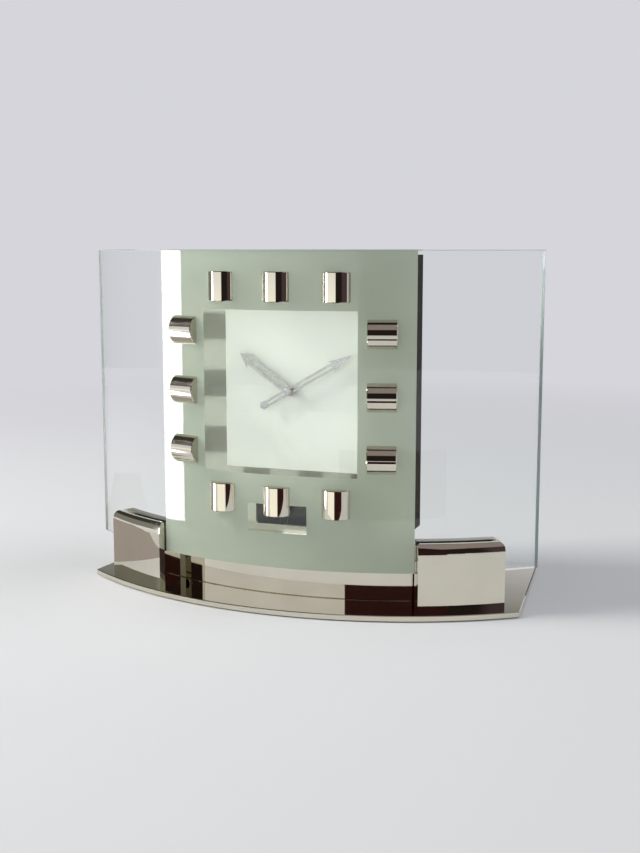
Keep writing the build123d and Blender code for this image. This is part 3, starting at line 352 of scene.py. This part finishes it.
def black_rubber():
    """Thin dull rubber."""
    s = material("black_rubber")
    grain = s.noise(2200.0, 3.0)
    return s.finish(s.principled({
        "Base Color": s.blend(s.spread(grain, 0.0, 1.0), (0.02, 0.02, 0.02), (0.04, 0.04, 0.042)),
        "Roughness": s.spread(grain, 0.7, 0.85),
        "Normal": s.bump(grain, 0.2, 0.0001),
    }))


def black_enamel():
    """Stoved black enamel with a slight orange peel and a little dust."""
    s = material("black_enamel")
    peel = s.noise(420.0, 2.0)
    dust = s.spread(s.noise(1400.0, 2.0), 0.0, 1.0, 0.66, 0.78)
    return s.finish(s.principled({
        "Base Color": s.blend(s.math("MULTIPLY", dust, 0.5), (0.014, 0.014, 0.016), (0.10, 0.10, 0.095)),
        "Roughness": s.spread(s.noise(60.0, 4.0), 0.27, 0.31),
        "Coat Weight": 0.4,
        "Coat Roughness": 0.12,
        "Normal": s.bump(peel, 0.10, 0.0003),
    }))


def copper_winding():
    """Varnished wire wound side by side between two black bobbin flanges."""
    s = material("copper_winding")
    low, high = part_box("drive_coil")
    middle = (low + high) / 2
    parts = s.add("ShaderNodeSeparateXYZ", {"Vector": s.place()}).outputs
    along = s.math("ADD", s.math("MULTIPLY", s.math("SUBTRACT", parts["X"], middle.x), cos(COIL_TILT)),
                   s.math("MULTIPLY", s.math("SUBTRACT", parts["Z"], middle.z), sin(COIL_TILT)))
    wound = s.math("LESS_THAN", s.math("ABSOLUTE", along), COIL_HALF_LENGTH)
    turns = s.math("SINE", s.math("MULTIPLY", along, 2 * pi / WIRE_PITCH))
    wire = s.blend(s.spread(s.noise(500.0), 0.0, 1.0), (0.42, 0.15, 0.06), (0.30, 0.09, 0.035))
    return s.finish(s.principled({
        "Base Color": s.blend(wound, (0.018, 0.017, 0.016), wire),
        "Metallic": s.math("MULTIPLY", wound, 0.8),
        "Roughness": 0.35,
        "Normal": s.bump(s.math("MULTIPLY", turns, wound), 0.5, 0.0001),
    }))


def black_moulding():
    """Moulded black plastic with faint mottling."""
    s = material("black_moulding")
    mottle = s.noise(160.0, 5.0)
    return s.finish(s.principled({
        "Base Color": s.blend(s.spread(mottle, 0.0, 1.0), (0.022, 0.018, 0.015), (0.045, 0.036, 0.028)),
        "Roughness": s.spread(mottle, 0.3, 0.45),
        "Normal": s.bump(s.noise(900.0), 0.1, 0.0001),
    }))


def battery_jacket():
    """Dark card jacket with bright metal ends."""
    s = material("battery_jacket")
    low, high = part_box("battery")
    x = s.add("ShaderNodeSeparateXYZ", {"Vector": s.place()}).outputs["X"]
    jacket = s.between(x, low.x + BATTERY_CAN_END, high.x - BATTERY_CAP_END)
    fibres = s.noise(700.0, 4.0, (0.2, 1.0, 1.0))
    paper = s.blend(s.spread(fibres, 0.0, 1.0), (0.045, 0.06, 0.10), (0.065, 0.08, 0.125))
    return s.finish(s.principled({
        "Base Color": s.blend(jacket, (0.55, 0.55, 0.54), paper),
        "Metallic": s.math("SUBTRACT", 1.0, jacket),
        "Roughness": s.spread(fibres, 0.4, 0.55),
        "Normal": s.bump(fibres, 0.1, 0.0001),
    }))


finishes = {
    "polished_nickel": polished_metal("polished_nickel", (0.74, 0.70, 0.60), (0.69, 0.65, 0.55), 0.02, 0.05),
    "polished_plate": polished_metal("polished_plate", (0.80, 0.79, 0.73), (0.76, 0.75, 0.69), 0.10, 0.15,
                                     metallic=0.82),
    "silver_hands": turned_metal("silver_hands", (0.62, 0.62, 0.58), (0.52, 0.52, 0.49), 0.22, 0.34),
    "brass": turned_metal("brass", (0.78, 0.57, 0.26), (0.60, 0.42, 0.18), 0.20, 0.34),
    "steel": turned_metal("steel", (0.62, 0.62, 0.63), (0.48, 0.48, 0.50), 0.18, 0.32),
    "bent_glass": bent_glass(),
    "white_dial": white_dial(),
    "felt": felt(),
    "black_rubber": black_rubber(),
    "black_enamel": black_enamel(),
    "copper_winding": copper_winding(),
    "black_moulding": black_moulding(),
    "battery_jacket": battery_jacket(),
}
for row in frame["record"]["subparts"]:
    mesh = nodes[row["node"]].data
    mesh.materials.clear()
    mesh.materials.append(finishes[row["material_slot"]])


def felt_discs():
    """Four felt pads with softened rims, under the corners of the base."""
    low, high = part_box("felt_pads")
    profile = [(PAD_RADIUS - PAD_EDGE, 0), (PAD_RADIUS, PAD_EDGE), (PAD_RADIUS, high.z - PAD_EDGE),
               (PAD_RADIUS - PAD_EDGE, high.z)]
    turns = [2 * pi * i / PAD_STEPS for i in range(PAD_STEPS)]
    shape = bmesh.new()
    front, rear = low.y + PAD_RADIUS, high.y - PAD_RADIUS
    for half_width, y in ((high.x - PAD_RADIUS, front), (high.x - PAD_RADIUS - BASE_END_TAPER, rear)):
        for x in (-half_width, half_width):
            rings = []
            for radius, z in profile:
                rings.append([
                    shape.verts.new((x + radius * cos(turn), y + radius * sin(turn), z)) for turn in turns
                ])
            for below, above in zip(rings, rings[1:]):
                for i in range(PAD_STEPS):
                    j = (i + 1) % PAD_STEPS
                    shape.faces.new((below[i], below[j], above[j], above[i]))
            shape.faces.new(list(reversed(rings[0])))
            shape.faces.new(rings[-1])
    mesh = bpy.data.meshes.new("felt_discs")
    shape.to_mesh(mesh)
    shape.free()
    discs = bpy.data.objects.new("felt_discs", mesh)
    bpy.context.scene.collection.objects.link(discs)
    mesh.materials.append(finishes["felt"])
    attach(discs, "stand")
    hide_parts("felt_pads")


felt_discs()


def plane(name, corners):
    """Flat sheet through its corners."""
    mesh = bpy.data.meshes.new(name)
    mesh.from_pydata(corners, [], [tuple(range(len(corners)))])
    sheet = bpy.data.objects.new(name, mesh)
    bpy.context.scene.collection.objects.link(sheet)
    return sheet


def level(low, high, height):
    """Corners of a level rectangle between two places on the floor."""
    (left, front), (right, rear) = low, high
    return [(left, front, height), (right, front, height), (right, rear, height), (left, rear, height)]


def floor():
    """Pale floor that keeps the shadow near the clock, and runs into the backdrop further out."""
    sheet = plane("floor", level((-FLOOR_REACH, -FLOOR_REACH), (FLOOR_REACH, FLOOR_REACH), 0))
    s = material("floor")
    parts = s.add("ShaderNodeSeparateXYZ", {"Vector": s.place()}).outputs
    far = s.spread(s.length(parts["X"], parts["Y"]), 0.0, 1.0, *FLOOR_FADE)
    weave = s.noise(1500.0, 2.0)
    cloth = s.principled({
        "Base Color": s.blend(s.spread(weave, 0.0, 1.0), FLOOR, tuple(0.97 * c for c in FLOOR)),
        "Roughness": 0.9,
        "Specular IOR Level": 0.0,
    })
    glow = s.add("ShaderNodeEmission", {"Color": BACKDROP, "Strength": 1.0})
    sheet.data.materials.append(s.finish(s.mix(far, cloth, glow)))


def mirrored_only(sheet, name, colour=None):
    """Makes a stage piece that only polished surfaces see, and starts its glow."""
    sheet.visible_camera = False
    sheet.visible_diffuse = False
    sheet.visible_transmission = False
    sheet.visible_shadow = False
    s = material(name)
    glow = s.add("ShaderNodeEmission", {"Strength": 1.0})
    sheet.data.materials.append(s.finish(glow))
    if colour:
        s.feed(glow.inputs["Color"], colour)
    return s, glow.inputs["Color"]


def sector(centre, inner, outer, start, end, height):
    """Corners of a ring sector on the floor between two bearings in degrees, where 0 is straight ahead."""
    steps = 12
    bearings = [radians(start + (end - start) * i / steps) for i in range(steps + 1)]
    edges = [(inner, turn) for turn in bearings] + [(outer, turn) for turn in reversed(bearings)]
    return [(centre[0] + reach * sin(turn), centre[1] - reach * cos(turn), height) for reach, turn in edges]


def wall(start, end, low, high):
    """Corners of an upright sheet between two places on the floor."""
    return [(*start, low), (*end, low), (*end, high), (*start, high)]


def mirrored_point(angle, bearing, reach):
    """Place on the floor that the camera sees mirrored in the pane, from an angle on the bend."""
    start = (GLASS_RADIUS * sin(angle), BEND_CENTRE_Y - GLASS_RADIUS * cos(angle))
    return (start[0] + reach * sin(bearing), start[1] - reach * cos(bearing))


def card(name, corners, colour):
    """Flat studio card that only polished surfaces see."""
    mirrored_only(plane(name, corners), name, colour)


def room():
    """Dome that only polished surfaces see."""
    mesh = bpy.data.meshes.new("room")
    shape = bmesh.new()
    bmesh.ops.create_uvsphere(shape, u_segments=96, v_segments=48, radius=ROOM_RADIUS)
    shape.to_mesh(mesh)
    shape.free()
    dome = bpy.data.objects.new("room", mesh)
    bpy.context.scene.collection.objects.link(dome)
    s, glow = mirrored_only(dome, "room")
    parts = s.add("ShaderNodeSeparateXYZ", {"Vector": s.place()}).outputs
    turn = s.math("ARCTAN2", parts["X"], s.math("MULTIPLY", parts["Y"], -1.0))
    rise = s.math("ARCSINE", s.math("DIVIDE", parts["Z"], ROOM_RADIUS))
    eaves = s.spread(turn, *EAVES_RISE, *EAVES_BEARINGS)
    eaves = s.math("SUBTRACT", eaves, s.spread(turn, 0.0, EAVES_DROP, *DROP_BEARINGS))
    over_eaves = s.spread(s.math("SUBTRACT", rise, eaves), 0.0, 1.0, -EAVES_BLUR, EAVES_BLUR)
    overhead = s.spread(rise, 0.0, 1.0, *CEILING_RISE)
    raised = s.spread(rise, 0.0, 1.0, *PALING)
    walls = s.blend(raised, s.ramp(turn, LOWER_ROOM), s.ramp(turn, RAISED_ROOM))
    walls = s.blend(over_eaves, walls, s.ramp(turn, UPPER_ROOM))
    s.feed(glow, s.blend(overhead, walls, CEILING))


def lamp(name, place, size, power, colour=(1, 1, 1)):
    """Soft square lamp aimed at the clock."""
    light = bpy.data.lights.new(name, "AREA")
    light.shape = "SQUARE"
    light.size = size
    light.energy = power
    light.color = colour
    holder = bpy.data.objects.new(name, light)
    holder.location = place
    holder.rotation_euler = (Vector(LAMP_TARGET) - Vector(place)).to_track_quat("-Z", "Y").to_euler()
    bpy.context.scene.collection.objects.link(holder)
    return holder


def world():
    """Pale backdrop for what is seen, and a soft even light for the rest."""
    s = Shader(bpy.data.worlds.new("studio"), "ShaderNodeOutputWorld")
    rays = s.add("ShaderNodeLightPath").outputs
    seen = s.math("MAXIMUM", rays["Is Camera Ray"], rays["Is Glossy Ray"])
    seen = s.math("MAXIMUM", seen, rays["Is Transmission Ray"])
    light = s.add("ShaderNodeBackground", {"Color": SKY, "Strength": SKY_LIGHT})
    backdrop = s.add("ShaderNodeBackground", {"Color": BACKDROP, "Strength": 1.0})
    bpy.context.scene.world = s.finish(s.mix(seen, light, backdrop))


def camera():
    """Camera at the photograph's viewing angle."""
    view = bpy.data.cameras.new("photo_view")
    view.sensor_fit = "VERTICAL"
    view.sensor_height = SENSOR_HEIGHT
    view.lens = FOCAL_PIXELS / PHOTO_HEIGHT * SENSOR_HEIGHT
    view.clip_start = 0.01
    holder = bpy.data.objects.new("photo_view", view)
    holder.location = CAMERA_PLACE
    holder.rotation_euler = (pi / 2 - CAMERA_PITCH, 0, CAMERA_TURN)
    bpy.context.scene.collection.objects.link(holder)
    bpy.context.scene.camera = holder


floor()
room()
card("low_card", wall(*LOW_CARD_ENDS, *LOW_CARD_HEIGHTS), DARK_RED)
card("bright_floor", sector((0, glass_low.y), *BRIGHT_FLOOR_REACH, *BRIGHT_FLOOR_BEARINGS, CARD_HEIGHT), CREAM)
# Painted shade of the floor at the left, seen only in reflections
card("left_floor_shade", level(*LEFT_FLOOR_CORNERS, CARD_HEIGHT), TAUPE)
strip_near, strip_far = ([mirrored_point(*edge, reach) for edge in STRIP_EDGES] for reach in STRIP_REACH)
card("bright_path", [(*place, STRIP_HEIGHT) for place in strip_near + strip_far[::-1]], GLARE)
card("bright_wall", wall(*strip_far, 0.0, STRIP_TOP), GLARE)
card("side_card", wall(*SIDE_CARD_ENDS, *SIDE_CARD_HEIGHTS), SHADE)
lamp("key_lamp", (-1.7, -0.6, 1.2), size=0.7, power=36.0, colour=(1.0, 0.985, 0.95))
lamp("fill_lamp", (1.3, 0.3, 1.3), size=1.0, power=9.0, colour=(0.96, 0.98, 1.0))
lamp("front_lamp", (-0.3, -1.7, 0.5), size=0.8, power=3.0).visible_glossy = False
world()
camera()
bpy.context.scene.view_settings.view_transform = "Standard"
